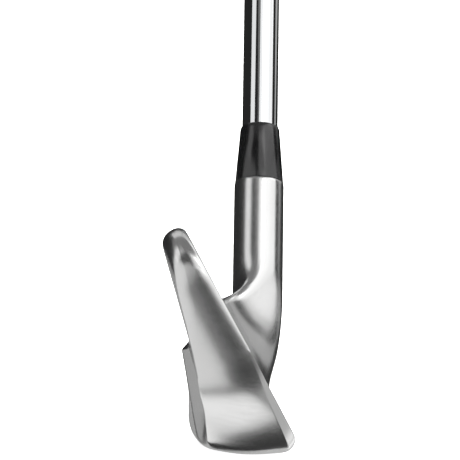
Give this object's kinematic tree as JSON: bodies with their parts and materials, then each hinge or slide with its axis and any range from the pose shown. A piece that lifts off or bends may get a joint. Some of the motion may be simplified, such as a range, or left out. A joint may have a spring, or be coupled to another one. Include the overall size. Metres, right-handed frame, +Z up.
{
  "type": "iron golf club",
  "caption": "Right-handed mid iron: forged steel head with hosel and grooved face plate, black ferrule, stepped steel shaft and rubber grip.",
  "frame": {"origin": "the point on the sole under the middle of the face that the club rests on at address", "axes": "+X along the target line, out of the face; +Y from toe to heel; +Z up. The shaft leans towards +Y at its lie angle."},
  "size_m": [0.0462, 0.5266, 0.8381],
  "materials": {
    "forged_steel": "fine satin, brushed along the hosel",
    "face_steel": "blasted, with machined scorelines",
    "tungsten": "sintered tungsten alloy",
    "filler": "soft elastomer",
    "epoxy": "cured adhesive",
    "brass": "turned",
    "ferrule_plastic": "polished black",
    "shaft_chrome": "polished plating",
    "band_film": "plain printed film",
    "tape": "crepe paper tape",
    "grip_rubber": "moulded pattern",
    "cap_rubber": "smooth moulding"
  },
  "bodies": {
    "root": {"head_body": "forged_steel", "face_plate": "face_steel", "toe_weight": "tungsten", "cavity_filler": "filler", "shaft_adhesive": "epoxy", "tip_weight": "brass", "ferrule": "ferrule_plastic", "shaft": "shaft_chrome", "shaft_band": "band_film", "grip_tape": "tape", "grip_sleeve": "grip_rubber", "grip_cap": "cap_rubber"}
  },
  "joints": []
}
